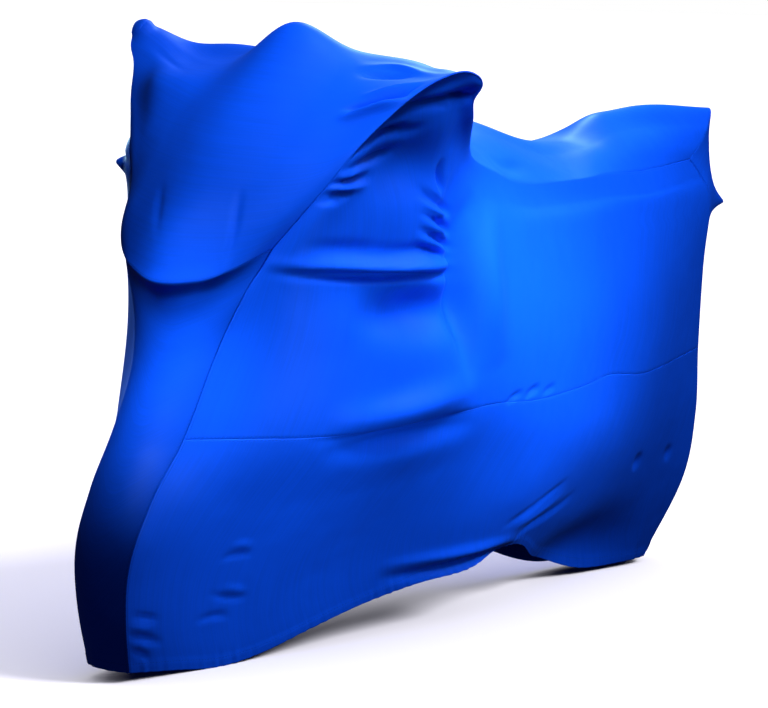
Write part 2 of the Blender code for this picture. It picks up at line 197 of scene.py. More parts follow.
def smooth_line(points, places, axis=0):
    """Smooth curve through equally numbered points, read at fractional places."""
    points = np.moveaxis(np.asarray(points, float), axis, 0)
    places = np.asarray(places, float)
    first = 2 * points[0] - points[1]
    last = 2 * points[-1] - points[-2]
    padded = np.concatenate([[first], points, [last]])
    start = np.clip(np.floor(places).astype(int), 0, len(points) - 2)
    part = (places - start).reshape((-1,) + (1,) * (points.ndim - 1))
    before, here, there, after = (padded[start + k] for k in range(4))
    bend = 2 * before - 5 * here + 4 * there - after
    twist = 3 * here - before - 3 * there + after
    curve = 0.5 * (2 * here + (there - before) * part + bend * part**2 + twist * part**3)
    return np.moveaxis(curve, 0, axis)


def spaced_places(lines, step):
    """Places along several lines, one step apart on average, and closer beside the two seams."""
    runs = [np.linalg.norm(np.diff(np.array(line), axis=0), axis=-1) for line in lines]
    reached = np.concatenate([[0], np.cumsum(np.mean(runs, axis=0))])
    total = reached[-1]
    distances = np.linspace(0, total, int(round(total / step)) + 1)
    close = np.array(SEAM_STEPS)
    beside_seams = np.concatenate([close, total - close])
    clearance = np.abs(distances[:, None] - beside_seams).min(axis=1)
    distances = distances[clearance > SEAM_CLEARANCE]
    distances = np.unique(np.concatenate([distances, beside_seams, [0, total]]))
    return np.interp(distances, reached, np.arange(len(reached)))


def surface_normals(grid, outward):
    """Unit normal at each point of a grid, turned to the side of a direction."""
    normals = np.cross(np.gradient(grid, axis=0), np.gradient(grid, axis=1))
    normals /= np.linalg.norm(normals, axis=-1, keepdims=True)
    return normals * np.sign((normals @ np.array(outward)).mean())


def edge_distances(grid):
    """Lengths along the cloth from each point to the first row, last row, first and last column."""
    down = np.zeros(grid.shape[:2])
    down[1:] = np.cumsum(np.linalg.norm(np.diff(grid, axis=0), axis=-1), axis=0)
    across = np.zeros(grid.shape[:2])
    across[:, 1:] = np.cumsum(np.linalg.norm(np.diff(grid, axis=1), axis=-1), axis=1)
    return down, down[-1] - down, across, across[:, -1:] - across


def fold_height(places, folds):
    """Height of the folds at each place; each line swells from nothing at its two ends."""
    height = np.zeros(places.shape[:-1])
    for rise, half_width, line in folds:
        line = smooth_line(line, np.linspace(0, len(line) - 1, LINE_STEPS * (len(line) - 1) + 1))
        near = (places > line.min(axis=0) - FOLD_REACH * half_width).all(-1)
        near &= (places < line.max(axis=0) + FOLD_REACH * half_width).all(-1)
        spots = places[near]
        nearest = np.full(len(spots), np.inf)
        share = np.zeros(len(spots))
        reached = np.concatenate([[0], np.cumsum(np.linalg.norm(np.diff(line, axis=0), axis=-1))])
        for start, end, before, after in zip(line[:-1], line[1:], reached[:-1], reached[1:]):
            run = end - start
            along = np.clip(((spots - start) @ run) / (run @ run), 0, 1)
            gap = np.linalg.norm(spots - start - along[:, None] * run, axis=-1)
            share = np.where(gap < nearest, (before + (after - before) * along) / reached[-1], share)
            nearest = np.minimum(nearest, gap)
        swell = np.sin(np.pi * share) ** FOLD_SWELL
        height[near] += FOLD_DEPTH * rise * swell * np.exp(-(nearest / half_width) ** 2)
    return height


def push_out(grid):
    """Move the cloth where something hard pushes it out, and draw it round the mirror heads."""
    moved = grid.copy()
    for _, point, push, reach, kind, sides in PUSHES:
        for side in sides:
            mirror = np.array([1, side, 1])
            distance = np.linalg.norm(grid - np.array(point) * mirror, axis=-1) / reach
            share = np.exp(-distance**2) if kind == "round" else np.exp(-distance)
            moved += share[..., None] * (np.array(push) * mirror)
    for _, middle, end, radius in MIRRORS:
        arm = moved - np.array(middle)
        distance = np.linalg.norm(arm, axis=-1)
        toward = (arm / distance[..., None]) @ (np.array(end) / np.linalg.norm(end))
        turned = np.clip((toward - CAP_START) / CAP_SPAN, 0, 1)
        share = turned * np.clip(CAP_REACH - distance / radius, 0, 1)
        share = share**2 * (3 - 2 * share)
        moved += (share * (radius / distance - 1))[..., None] * arm
    return moved


def lean_left(grid):
    """Lean the upright form to the left, and set it in the frame."""
    y, z = grid[..., 1].copy(), grid[..., 2].copy()
    leaned = grid.copy()
    leaned[..., 1] = y * math.cos(LEAN) - z * math.sin(LEAN)
    leaned[..., 2] = z * math.cos(LEAN) + y * math.sin(LEAN)
    return leaned - FOOT


def seam_dip(distance):
    """Depth of the cloth beside a sewn edge, where the stitches draw it in."""
    return SEAM_DIP * np.clip(1 - distance / SEAM_DIP_WIDTH, 0, 1) ** 2


def linear(colour):
    """Linear red, green and blue of an sRGB hex colour."""
    channels = [int(colour[k:k + 2], 16) / 255 for k in (0, 2, 4)]
    return [c / 12.92 if c <= 0.04045 else ((c + 0.055) / 1.055) ** 2.4 for c in channels]


def add_node(tree, kind, settings=None, links=None):
    """One node with its settings and links. Settings: attribute or socket to value."""
    node = tree.nodes.new(kind)
    for key, value in (settings or {}).items():
        if isinstance(key, str) and hasattr(node, key):
            setattr(node, key, value)
        else:
            node.inputs[key].default_value = value
    for key, source in (links or {}).items():
        tree.links.new(source, node.inputs[key])
    return node


# Blue of the dye, and the paler blue of the bloom. Rows of stitches: how far they lie from a seam
# and from the hem's edge, half their width, and the painted shade that darkens the cloth's colour in them
DYE_BLUE = "0c55ed"
BLOOM_BLUE = "6fa8ff"
SEAM_STITCHES = 0.0045
HEM_STITCHES = 0.0205
STITCH_HALF_WIDTH = 0.0009
STITCH_PAINTED_SHADE = -0.18


def satin_knit(name):
    """Warp-knitted polyester and elastane, piece-dyed: deep and even in colour, with a soft
    satin bloom at glancing angles from its fine filaments. Painted shade darkens its colour in the
    stitches, where they pull it in."""
    material = bpy.data.materials.new(name)
    material.use_nodes = True
    tree = material.node_tree
    shader = tree.nodes["Principled BSDF"]
    cloth = add_node(tree, "ShaderNodeUVMap", {"uv_map": "cloth"}).outputs["UV"]
    place = add_node(tree, "ShaderNodeTexCoord").outputs["Object"]
    sewn = add_node(tree, "ShaderNodeAttribute", {"attribute_name": "from_seam"}).outputs["Fac"]
    hemmed = add_node(tree, "ShaderNodeAttribute", {"attribute_name": "from_hem"}).outputs["Fac"]

    # Dye taken up a little unevenly, in clouds of about 0.3 m, gives the eye a broad drift of tone
    clouds = add_node(tree, "ShaderNodeTexNoise", {"Scale": 3.3, "Detail": 3.0}, {"Vector": place})
    # Wales run down the cloth 0.9 mm apart, too fine to show: drawn 5 mm apart as faint streaks
    along = add_node(tree, "ShaderNodeMapping", {"Scale": (200, 4, 1)}, {"Vector": cloth})
    wales = add_node(tree, "ShaderNodeTexNoise", {"Scale": 1.0, "Detail": 2.0}, {
        "Vector": along.outputs[0]})
    tone = add_node(tree, "ShaderNodeMath", {"operation": "ADD"}, {
        0: clouds.outputs["Fac"], 1: wales.outputs["Fac"]})
    shade = add_node(tree, "ShaderNodeMapRange", {
        "From Min": 0.7, "From Max": 1.3, "To Min": 0.93, "To Max": 1.07}, {"Value": tone.outputs[0]})

    # Lockstitches 3 mm long beside each long seam and along the turned-up hem, too fine to show:
    # drawn 8 mm apart, as small dashes that pull the cloth down between them, with painted shade
    # darkening the colour in them
    dash = add_node(tree, "ShaderNodeTexWave", {"Scale": 38.0, "wave_profile": "SIN"}, {"Vector": cloth})
    seam_row = add_node(tree, "ShaderNodeMath", {
        "operation": "COMPARE", 1: SEAM_STITCHES, 2: STITCH_HALF_WIDTH}, {0: sewn})
    hem_row = add_node(tree, "ShaderNodeMath", {
        "operation": "COMPARE", 1: HEM_STITCHES, 2: STITCH_HALF_WIDTH}, {0: hemmed})
    rows = add_node(tree, "ShaderNodeMath", {"operation": "MAXIMUM"}, {
        0: seam_row.outputs[0], 1: hem_row.outputs[0]})
    stitch = add_node(tree, "ShaderNodeMath", {"operation": "MULTIPLY"}, {
        0: rows.outputs[0], 1: dash.outputs["Fac"]})
    # Painted shade: the stitch dashes darken the dye's colour
    dim = add_node(tree, "ShaderNodeMath", {"operation": "MULTIPLY_ADD", 1: STITCH_PAINTED_SHADE}, {
        0: stitch.outputs[0], 2: shade.outputs[0]})
    colour = add_node(tree, "ShaderNodeVectorMath", {"operation": "SCALE", 0: linear(DYE_BLUE)}, {
        "Scale": dim.outputs[0]})
    tree.links.new(colour.outputs[0], shader.inputs["Base Color"])

    # Loops of the knit, 0.6 mm and too fine to show: drawn as a 4 mm grain that breaks up the
    # sheen, over slack ripples of about 60 mm that a tight cloth still keeps
    grain = add_node(tree, "ShaderNodeTexNoise", {"Scale": 250.0, "Detail": 2.0}, {"Vector": place})
    ripples = add_node(tree, "ShaderNodeTexNoise", {"Scale": 16.0, "Detail": 1.0}, {"Vector": place})
    knit_bump = add_node(tree, "ShaderNodeBump", {"Strength": 0.06, "Distance": 0.002}, {
        "Height": grain.outputs["Fac"]})
    slack_bump = add_node(tree, "ShaderNodeBump", {"Strength": 0.25, "Distance": 0.006}, {
        "Height": ripples.outputs["Fac"], "Normal": knit_bump.outputs[0]})
    stitch_bump = add_node(tree, "ShaderNodeBump", {"Strength": 0.5, "Distance": 0.001, "invert": True}, {
        "Height": stitch.outputs[0], "Normal": slack_bump.outputs[0]})
    tree.links.new(stitch_bump.outputs[0], shader.inputs["Normal"])
    shader.inputs["Roughness"].default_value = 0.5
    shader.inputs["IOR"].default_value = 1.5
    shader.inputs["Specular IOR Level"].default_value = 0.1
    shader.inputs["Sheen Weight"].default_value = 0.03
    shader.inputs["Sheen Roughness"].default_value = 0.4
    shader.inputs["Sheen Tint"].default_value = (*linear(BLOOM_BLUE), 1)
    return material


def sew_panel(name, grid, from_seam, from_hem):
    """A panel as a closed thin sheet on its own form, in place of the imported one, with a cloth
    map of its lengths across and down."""
    row_count, column_count = grid.shape[:2]
    sheet = bmesh.new()
    bmesh.ops.create_grid(sheet, x_segments=column_count - 1, y_segments=row_count - 1, size=1)
    mesh = bpy.data.meshes.new(name)
    sheet.to_mesh(mesh)
    sheet.free()
    mesh.vertices.foreach_set("co", grid.reshape(-1))
    down, _, across, _ = edge_distances(grid)
    corner_points = np.empty(len(mesh.loops), int)
    mesh.loops.foreach_get("vertex_index", corner_points)
    cloth_map = np.stack([across.reshape(-1), down.reshape(-1)], -1)[corner_points]
    mesh.uv_layers.new(name="cloth").data.foreach_set("uv", cloth_map.reshape(-1))
    for word, lengths in (("from_seam", from_seam), ("from_hem", from_hem)):
        values = np.ascontiguousarray(np.broadcast_to(lengths, grid.shape[:2]), dtype=np.float32)
        mesh.attributes.new(word, "FLOAT", "POINT").data.foreach_set("value", values.reshape(-1))
    mesh.update()
    middle = grid[row_count // 2, column_count // 2]
    outward = middle - np.array([middle[0] / 2, 0, INSIDE_HEIGHT])
    if mesh.polygons[len(mesh.polygons) // 2].normal.dot(Vector(outward)) < 0:
        mesh.flip_normals()
    mesh.shade_smooth()
    mesh.materials.append(satin_knit(f"{name}_satin_polyester_knit"))
    panel = bpy.data.objects.new(f"{name}_cloth", mesh)
    bpy.context.scene.collection.objects.link(panel)
    thickness = panel.modifiers.new("knit thickness", "SOLIDIFY")
    thickness.thickness = KNIT_THICKNESS
    thickness.offset = -1
    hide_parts(name)
    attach(panel, "root")


half_lines = [np.array(line) for line in (RIDGE, CROWN, WING, SEAM)]
left_lines = [line * (1, -1, 1) for line in half_lines[:0:-1]]
top_lines = np.array(left_lines + half_lines)
columns = spaced_places((RIDGE, SEAM), COLUMN_STEP)
top_rows = spaced_places([top_lines[:, k] for k in TOP_STATIONS], TOP_ROW_STEP)
top_form = smooth_line(smooth_line(top_lines, columns, axis=1), top_rows)
top_edge = np.minimum.reduce(edge_distances(top_form))
top_height = fold_height(top_form, [fold[1:] for fold in TOP_FOLDS])
top_height = top_height * np.clip(top_edge / FOLD_FADE, 0, 1) - seam_dip(top_edge)
top_form = push_out(top_form + surface_normals(top_form, TOP_FACES) * top_height[..., None])
sew_panel("top_panel", lean_left(top_form), top_edge, NO_HEM)

# Side panels: on each side an upper piece from the top seam to the belt seam, and a lower one from
# there to the hem, of the same satin knit. They are overlocked to each other and topstitched, and
# the lower edge is turned up over an elastic that draws it in.

# Columns of the lines: x, half width, height; front to rear
BELT = (
    (-0.850, 0.095, 0.505), (-0.740, 0.182, 0.510), (-0.640, 0.232, 0.510), (-0.535, 0.264, 0.510),
    (-0.430, 0.276, 0.510), (-0.310, 0.278, 0.505), (-0.185, 0.272, 0.515), (-0.045, 0.270, 0.525),
    (0.125, 0.262, 0.515), (0.320, 0.240, 0.520), (0.480, 0.205, 0.525), (0.680, 0.170, 0.505),
    (1.020, 0.080, 0.515),
)
HEM = (
    (-0.920, 0.055, 0.030), (-0.810, 0.080, 0.020), (-0.690, 0.095, 0.010), (-0.570, 0.110, 0.025),
    (-0.435, 0.135, 0.065), (-0.295, 0.155, 0.100), (-0.145, 0.175, 0.125), (0.020, 0.185, 0.135),
    (0.190, 0.165, 0.155), (0.320, 0.115, 0.137), (0.450, 0.078, 0.072), (0.655, 0.064, 0.016),
    (0.895, 0.060, 0.022),
)

# Levels between the top seam, the belt and the hem: half widths from the second station to the
# last but one, and the share of the way down or the height that each level is at
BROW_WIDTHS = (0.248, 0.300, 0.345, 0.372, 0.325, 0.262, 0.230, 0.205, 0.180, 0.160, 0.140)
SHOULDER_WIDTHS = (0.228, 0.250, 0.270, 0.285, 0.286, 0.262, 0.252, 0.230, 0.208, 0.180, 0.152)
WAIST_WIDTHS = (0.197, 0.243, 0.270, 0.280, 0.272, 0.264, 0.272, 0.260, 0.238, 0.208, 0.172)
BELLY_WIDTHS = (0.140, 0.172, 0.200, 0.217, 0.227, 0.238, 0.247, 0.247, 0.232, 0.200, 0.155)
SKIRT_WIDTHS = (0.102, 0.124, 0.144, 0.163, 0.183, 0.205, 0.222, 0.220, 0.190, 0.146, 0.110)
BROW_SHARE = 0.10
SHOULDER_HEIGHT = 0.880
WAIST_HEIGHT = 0.700
BELLY_SHARE = 0.33
SKIRT_SHARE = 0.67

# Upright edges of the sides, at the levels from the brow down to the skirt. The belt's level is
# counted from the seam, and the stations are those that the spacing of the rows is measured at
FRONT_EDGE = (
    (-0.735, 0.170, 0.860), (-0.760, 0.150, 0.800), (-0.790, 0.115, 0.680), (-0.850, 0.095, 0.505),
    (-0.920, 0.080, 0.380), (-0.960, 0.070, 0.235),
)
REAR_EDGE = (
    (0.950, 0.085, 0.930), (0.990, 0.090, 0.870), (1.010, 0.080, 0.700), (1.020, 0.080, 0.515),
    (1.020, 0.090, 0.360), (0.990, 0.090, 0.205),
)
BELT_LEVEL = 4
SIDE_STATIONS = slice(3, 10, 2)
SIDE_ROW_STEP = 0.0058

# Hem: height of the turned-up band, how far it stands proud, the width of its step, and the limit
# of the step's exponent. The elastic's gathers: their height, how far up they reach, the length
# and phase of a wide, a narrow and a slow wave, and the shares of the last two
HEM_BAND = 0.022
HEM_RISE = 0.0012
HEM_STEP = 0.0008
STEP_LIMIT = 50
GATHER_HEIGHT = 0.0009
GATHER_REACH = 0.035
GATHER_WAVES = ((0.031, 0.0), (0.019, 1.3), (0.23, 0.7))
NARROW_SHARE = 0.6
SLOW_SHARE = 0.4

# Folds of the side panels. Columns: name, side (-1 left, +1 right), height out of the cloth
# (negative for a valley), half width, and the line as (x, height) points
SIDE_FOLDS = (
    ("shoulder roll", -1, 0.015, 0.014, (
        (-0.760, 0.868), (-0.600, 0.862), (-0.500, 0.855), (-0.360, 0.847), (-0.250, 0.838),
        (-0.160, 0.831))),
    ("under the roll", -1, -0.018, 0.010, (
        (-0.740, 0.848), (-0.600, 0.843), (-0.480, 0.835), (-0.360, 0.828), (-0.250, 0.818),
        (-0.165, 0.810))),
    ("above the roll", -1, -0.005, 0.016, ((-0.700, 0.903), (-0.600, 0.898), (-0.450, 0.888))),
    ("hollow below the roll", -1, -0.031, 0.048, (
        (-0.560, 0.760), (-0.430, 0.755), (-0.320, 0.745), (-0.200, 0.735), (-0.120, 0.728))),
    ("mirror underside", -1, -0.011, 0.010, (
        (-0.575, 1.180), (-0.520, 1.196), (-0.450, 1.203), (-0.400, 1.209), (-0.350, 1.212))),
    ("mirror face", -1, 0.006, 0.012, (
        (-0.540, 1.212), (-0.485, 1.228), (-0.440, 1.240), (-0.390, 1.243))),
    ("seam pucker", -1, -0.008, 0.009, ((-0.650, 1.090), (-0.577, 1.125), (-0.500, 1.165))),
    ("seam pucker", -1, -0.006, 0.009, ((-0.610, 1.152), (-0.560, 1.174), (-0.490, 1.184))),
    ("below the mirror", -1, -0.022, 0.068, (
        (-0.640, 1.080), (-0.520, 1.070), (-0.420, 1.050), (-0.300, 1.000))),
    ("before the crease", -1, -0.012, 0.045, (
        (-0.330, 1.080), (-0.270, 0.980), (-0.240, 0.880), (-0.240, 0.780))),
    ("seam pucker", -1, -0.009, 0.010, (
        (-0.612, 1.124), (-0.560, 1.137), (-0.500, 1.140), (-0.460, 1.150))),
    ("seam pucker", -1, -0.012, 0.010, (
        (-0.648, 1.056), (-0.607, 1.067), (-0.542, 1.083), (-0.490, 1.094))),
    ("seam pucker", -1, 0.007, 0.011, ((-0.650, 1.040), (-0.610, 1.060), (-0.560, 1.068))),
    ("seam pucker", -1, -0.010, 0.008, ((-0.668, 1.033), (-0.618, 1.038), (-0.540, 1.041))),
    ("seam pucker", -1, 0.007, 0.009, ((-0.665, 1.022), (-0.610, 1.029), (-0.550, 1.031))),
    ("seam pucker", -1, -0.007, 0.008, ((-0.672, 1.010), (-0.640, 1.013), (-0.600, 1.013))),
    ("seam pucker", -1, -0.005, 0.008, ((-0.676, 0.996), (-0.650, 1.000), (-0.622, 1.001))),
    ("crease pucker", -1, -0.009, 0.010, ((-0.350, 1.075), (-0.330, 1.030), (-0.290, 0.990))),
    ("crease pucker", -1, -0.009, 0.009, ((-0.430, 1.010), (-0.330, 0.978), (-0.215, 0.942))),
    ("crease pucker", -1, 0.006, 0.009, ((-0.430, 0.992), (-0.320, 0.958), (-0.205, 0.922))),
    ("crease pucker", -1, -0.009, 0.008, ((-0.410, 0.972), (-0.320, 0.940), (-0.195, 0.899))),
    ("crease pucker", -1, 0.006, 0.008, ((-0.410, 0.955), (-0.310, 0.920), (-0.185, 0.880))),
    ("crease pucker", -1, -0.009, 0.008, ((-0.410, 0.936), (-0.310, 0.901), (-0.180, 0.862))),
    ("crease pucker", -1, 0.005, 0.008, ((-0.410, 0.918), (-0.300, 0.886), (-0.175, 0.850))),
    ("crease pucker", -1, -0.007, 0.008, ((-0.420, 0.902), (-0.300, 0.872), (-0.175, 0.840))),
    ("crease pucker", -1, -0.006, 0.010, ((-0.520, 0.892), (-0.356, 0.882), (-0.230, 0.858))),
    ("knee behind the crease", -1, 0.013, 0.045, (
        (-0.070, 0.960), (-0.100, 0.860), (-0.085, 0.740), (-0.050, 0.600))),
    ("crease", -1, -0.020, 0.030, (
        (-0.160, 0.990), (-0.200, 0.920), (-0.195, 0.840), (-0.165, 0.700), (-0.130, 0.560))),
    ("belt roll", -1, 0.018, 0.032, (
        (-0.600, 0.535), (-0.480, 0.543), (-0.360, 0.550), (-0.220, 0.556), (-0.110, 0.562))),
    ("belt crease", -1, -0.018, 0.026, (
        (-0.600, 0.478), (-0.440, 0.481), (-0.320, 0.484), (-0.210, 0.489), (-0.090, 0.496))),
    ("belt line", -1, -0.006, 0.009, (
        (-0.640, 0.500), (-0.420, 0.505), (-0.300, 0.507), (-0.200, 0.512), (-0.080, 0.521))),
    ("belt pucker", -1, -0.004, 0.007, ((0.000, 0.518), (0.030, 0.532), (0.065, 0.540))),
    ("belt pucker", -1, -0.005, 0.007, ((0.070, 0.522), (0.095, 0.536), (0.130, 0.545))),
    ("belt pucker", -1, -0.003, 0.007, ((0.140, 0.524), (0.175, 0.534), (0.200, 0.538))),
    ("low wrinkle", -1, -0.003, 0.006, ((-0.750, 0.250), (-0.705, 0.258), (-0.660, 0.254))),
    ("low wrinkle", -1, 0.002, 0.008, ((-0.735, 0.276), (-0.700, 0.279), (-0.665, 0.272))),
    ("low wrinkle", -1, -0.003, 0.006, ((-0.760, 0.178), (-0.705, 0.163), (-0.640, 0.157))),
    ("low wrinkle", -1, 0.002, 0.007, ((-0.730, 0.188), (-0.690, 0.180), (-0.650, 0.172))),
    ("low wrinkle", -1, -0.003, 0.007, ((-0.780, 0.120), (-0.720, 0.126), (-0.680, 0.118))),
    ("corner gather", -1, -0.004, 0.006, ((-0.940, 0.158), (-0.900, 0.150), (-0.862, 0.136))),
    ("corner gather", -1, 0.003, 0.007, ((-0.945, 0.138), (-0.908, 0.127), (-0.870, 0.120))),
    ("corner gather", -1, -0.005, 0.006, ((-0.945, 0.121), (-0.895, 0.106), (-0.845, 0.082))),
    ("corner gather", -1, 0.003, 0.006, ((-0.935, 0.096), (-0.905, 0.088), (-0.872, 0.070))),
    ("corner gather", -1, -0.005, 0.007, ((-0.925, 0.084), (-0.895, 0.070), (-0.875, 0.052))),
    ("rear drape", -1, -0.005, 0.010, ((0.110, 0.222), (0.240, 0.252), (0.370, 0.302))),
    ("rear drape", -1, 0.003, 0.012, ((0.160, 0.205), (0.290, 0.232), (0.390, 0.270))),
    ("rear drape", -1, -0.006, 0.011, ((0.200, 0.172), (0.333, 0.203), (0.450, 0.252))),
    ("rear tuck", -1, -0.026, 0.085, ((0.340, 0.020), (0.500, 0.050), (0.680, 0.075), (0.860, 0.060))),
    ("dimple", -1, -0.005, 0.014, ((0.720, 0.262), (0.728, 0.282), (0.735, 0.305))),
    ("dimple", -1, -0.004, 0.013, ((0.880, 0.262), (0.888, 0.280), (0.893, 0.302))),
    ("hem tuck", -1, -0.012, 0.012, (
        (-0.280, 0.152), (-0.100, 0.150), (0.050, 0.157), (0.200, 0.156), (0.300, 0.143))),
    ("hem ridge", -1, 0.006, 0.013, ((-0.300, 0.180), (-0.085, 0.182), (0.100, 0.182), (0.240, 0.178))),
    ("shoulder roll", 1, 0.010, 0.022, (
        (-0.680, 0.865), (-0.560, 0.862), (-0.420, 0.850), (-0.270, 0.822))),
    ("under the roll", 1, -0.008, 0.020, (
        (-0.660, 0.830), (-0.540, 0.825), (-0.400, 0.810), (-0.280, 0.785))),
    ("mirror underside", 1, -0.014, 0.015, (
        (-0.570, 1.195), (-0.510, 1.208), (-0.450, 1.212), (-0.400, 1.200))),
    ("below the mirror", 1, -0.012, 0.045, ((-0.540, 1.145), (-0.470, 1.135), (-0.400, 1.115))),
    ("seam pucker", 1, -0.005, 0.009, ((-0.655, 1.045), (-0.610, 1.070), (-0.555, 1.085))),
    ("seam pucker", 1, -0.005, 0.009, ((-0.675, 1.000), (-0.630, 1.012), (-0.565, 1.015))),
    ("crease pucker", 1, -0.006, 0.009, ((-0.400, 0.990), (-0.330, 0.965), (-0.250, 0.925))),
    ("crease pucker", 1, -0.005, 0.009, ((-0.430, 0.935), (-0.340, 0.915), (-0.240, 0.880))),
    ("crease", 1, -0.013, 0.040, ((-0.190, 0.990), (-0.200, 0.860), (-0.160, 0.690), (-0.130, 0.560))),
    ("belt crease", 1, -0.009, 0.020, (
        (-0.560, 0.512), (-0.430, 0.520), (-0.280, 0.522), (-0.180, 0.520))),
    ("low wrinkle", 1, -0.005, 0.009, ((-0.790, 0.190), (-0.720, 0.186), (-0.640, 0.178))),
    ("low wrinkle", 1, -0.005, 0.009, ((-0.760, 0.130), (-0.700, 0.122), (-0.620, 0.118))),
    ("rear drape", 1, -0.007, 0.014, ((0.130, 0.215), (0.290, 0.240), (0.430, 0.290))),
    ("rear tuck", 1, -0.018, 0.050, ((0.340, 0.095), (0.450, 0.140), (0.600, 0.190))),
    ("hem tuck", 1, -0.010, 0.013, ((-0.200, 0.155), (-0.020, 0.158), (0.160, 0.160))),
)


def level_between(upper, lower, share, widths):
    """Line at a share of the way down between two lines, with its own half widths."""
    line = upper + (lower - upper) * share
    line[1:-1, 1] = widths
    return line


def share_at(upper, lower, height):
    """Share of the way down between two lines at which they pass one height."""
    return (upper[:, 2:] - height) / (upper[:, 2:] - lower[:, 2:])


def hem_gathers(along, to_hem):
    """The turned-up hem stands proud of the cloth, and its elastic gathers the edge unevenly."""
    past_band = np.clip((to_hem - HEM_BAND) / HEM_STEP, -STEP_LIMIT, STEP_LIMIT)
    band = HEM_RISE / (1 + np.exp(past_band))
    wide, narrow, slow = (np.sin(2 * np.pi * along / length + phase) for length, phase in GATHER_WAVES)
    ripple = (wide + NARROW_SHARE * narrow) * (1 - SLOW_SHARE + SLOW_SHARE * slow)
    return band + GATHER_HEIGHT * ripple * np.exp(-((to_hem / GATHER_REACH) ** 2))


seam_line, belt_line, hem_line = (np.array(line) for line in (SEAM, BELT, HEM))
shoulder_share = share_at(seam_line, belt_line, SHOULDER_HEIGHT)
waist_share = share_at(seam_line, belt_line, WAIST_HEIGHT)
cage = np.array([
    seam_line,
    level_between(seam_line, belt_line, BROW_SHARE, BROW_WIDTHS),
    level_between(seam_line, belt_line, shoulder_share, SHOULDER_WIDTHS),
    level_between(seam_line, belt_line, waist_share, WAIST_WIDTHS),
    belt_line,
    level_between(belt_line, hem_line, BELLY_SHARE, BELLY_WIDTHS),
    level_between(belt_line, hem_line, SKIRT_SHARE, SKIRT_WIDTHS),
    hem_line,
])
cage[1:-1, 0] = FRONT_EDGE
cage[1:-1, -1] = REAR_EDGE
measured = cage[:, SIDE_STATIONS].swapaxes(0, 1)
upper_rows = spaced_places(measured[:, :BELT_LEVEL + 1], SIDE_ROW_STEP)
lower_rows = BELT_LEVEL + spaced_places(measured[:, BELT_LEVEL:], SIDE_ROW_STEP)
side_rows = np.concatenate([upper_rows, lower_rows[1:]])
side_form = smooth_line(smooth_line(cage, columns, axis=1), side_rows)
side_down, to_hem, from_front, to_rear = edge_distances(side_form)
belt_row = len(upper_rows) - 1
from_belt = np.abs(side_down - side_down[belt_row])
sewn_edge = np.minimum.reduce([side_down, from_front, to_rear])
seam_length = np.minimum(sewn_edge, from_belt)
for side, word in ((-1, "left"), (1, "right")):
    form = side_form * (1, side, 1)
    height = fold_height(form[..., ::2], [fold[2:] for fold in SIDE_FOLDS if fold[1] == side])
    height = height * np.clip(sewn_edge / FOLD_FADE, 0, 1) + hem_gathers(from_front, to_hem)
    height -= seam_dip(seam_length)
    form = push_out(form + surface_normals(form, (0, side, 0)) * height[..., None])
    sew_panel(f"upper_side_{word}", lean_left(form[:belt_row + 1]), seam_length[:belt_row + 1], NO_HEM)
    sew_panel(f"lower_side_{word}", lean_left(form[belt_row:]), seam_length[belt_row:], to_hem[belt_row:])

# Front and rear strips: narrow gores of the same knit that close the cover below the nose and
# below the tail. Each is sewn to the side panels along both its edges, bows out between them, and
# is hemmed with them.

# Middle lines of the strips, from the top down. Columns: x, height
FRONT_MIDDLE = (
    (-0.860, 0.810), (-0.835, 0.775), (-0.822, 0.715), (-0.842, 0.620), (-0.891, 0.505),
    (-0.952, 0.380), (-0.995, 0.220), (-0.955, 0.035),
)
REAR_MIDDLE = (
    (1.090, 1.070), (1.080, 1.000), (1.065, 0.880), (1.055, 0.700), (1.075, 0.515),
    (1.080, 0.350), (1.055, 0.190), (0.975, 0.040),
)

# Columns: name, middle line, station of the side edge, outward direction, flat size, area
STRIPS = (
    ("front_strip", FRONT_MIDDLE, 0, (-1, 0, 0), (0.24, 0.93), 0.186),
    ("rear_strip", REAR_MIDDLE, -1, (1, 0, 0), (0.24, 1.06), 0.244),
)

# Number of levels over which a strip passes from the top panel's end to its own bow
END_LEVELS = 2


def strip_form(middle, side_edge, end_line):
    """A strip that bows out from its side edges to its middle line, below the top panel's end."""
    middle = smooth_line(middle, side_rows)
    across = np.linspace(-1, 1, len(end_line))[:, None]
    points = np.empty((len(end_line), len(side_rows), 3))
    points[..., 0] = middle[:, 0] + (side_edge[:, 0] - middle[:, 0]) * across**2
    points[..., 1] = side_edge[:, 1] * across
    points[..., 2] = middle[:, 1] + (side_edge[:, 2] - middle[:, 1]) * across**2
    fade = np.clip(1 - side_rows / END_LEVELS, 0, 1) ** 2
    points += (end_line - points[:, 0])[:, None, :] * fade[None, :, None]
    return points


even_rows = np.linspace(0, len(top_lines) - 1, len(top_rows))
for name, middle, station, outward, flat, area in STRIPS:
    end_line = smooth_line(top_lines[:, station], even_rows)
    form = strip_form(middle, smooth_line(cage[:, station], side_rows), end_line)
    from_left, from_right, from_top, to_foot = edge_distances(form)
    sewn = np.minimum.reduce([from_left, from_right, from_top])
    height = hem_gathers(from_left, to_foot) - seam_dip(sewn)
    form = push_out(form + surface_normals(form, outward) * height[..., None])
    sew_panel(name, lean_left(form), sewn, to_foot)

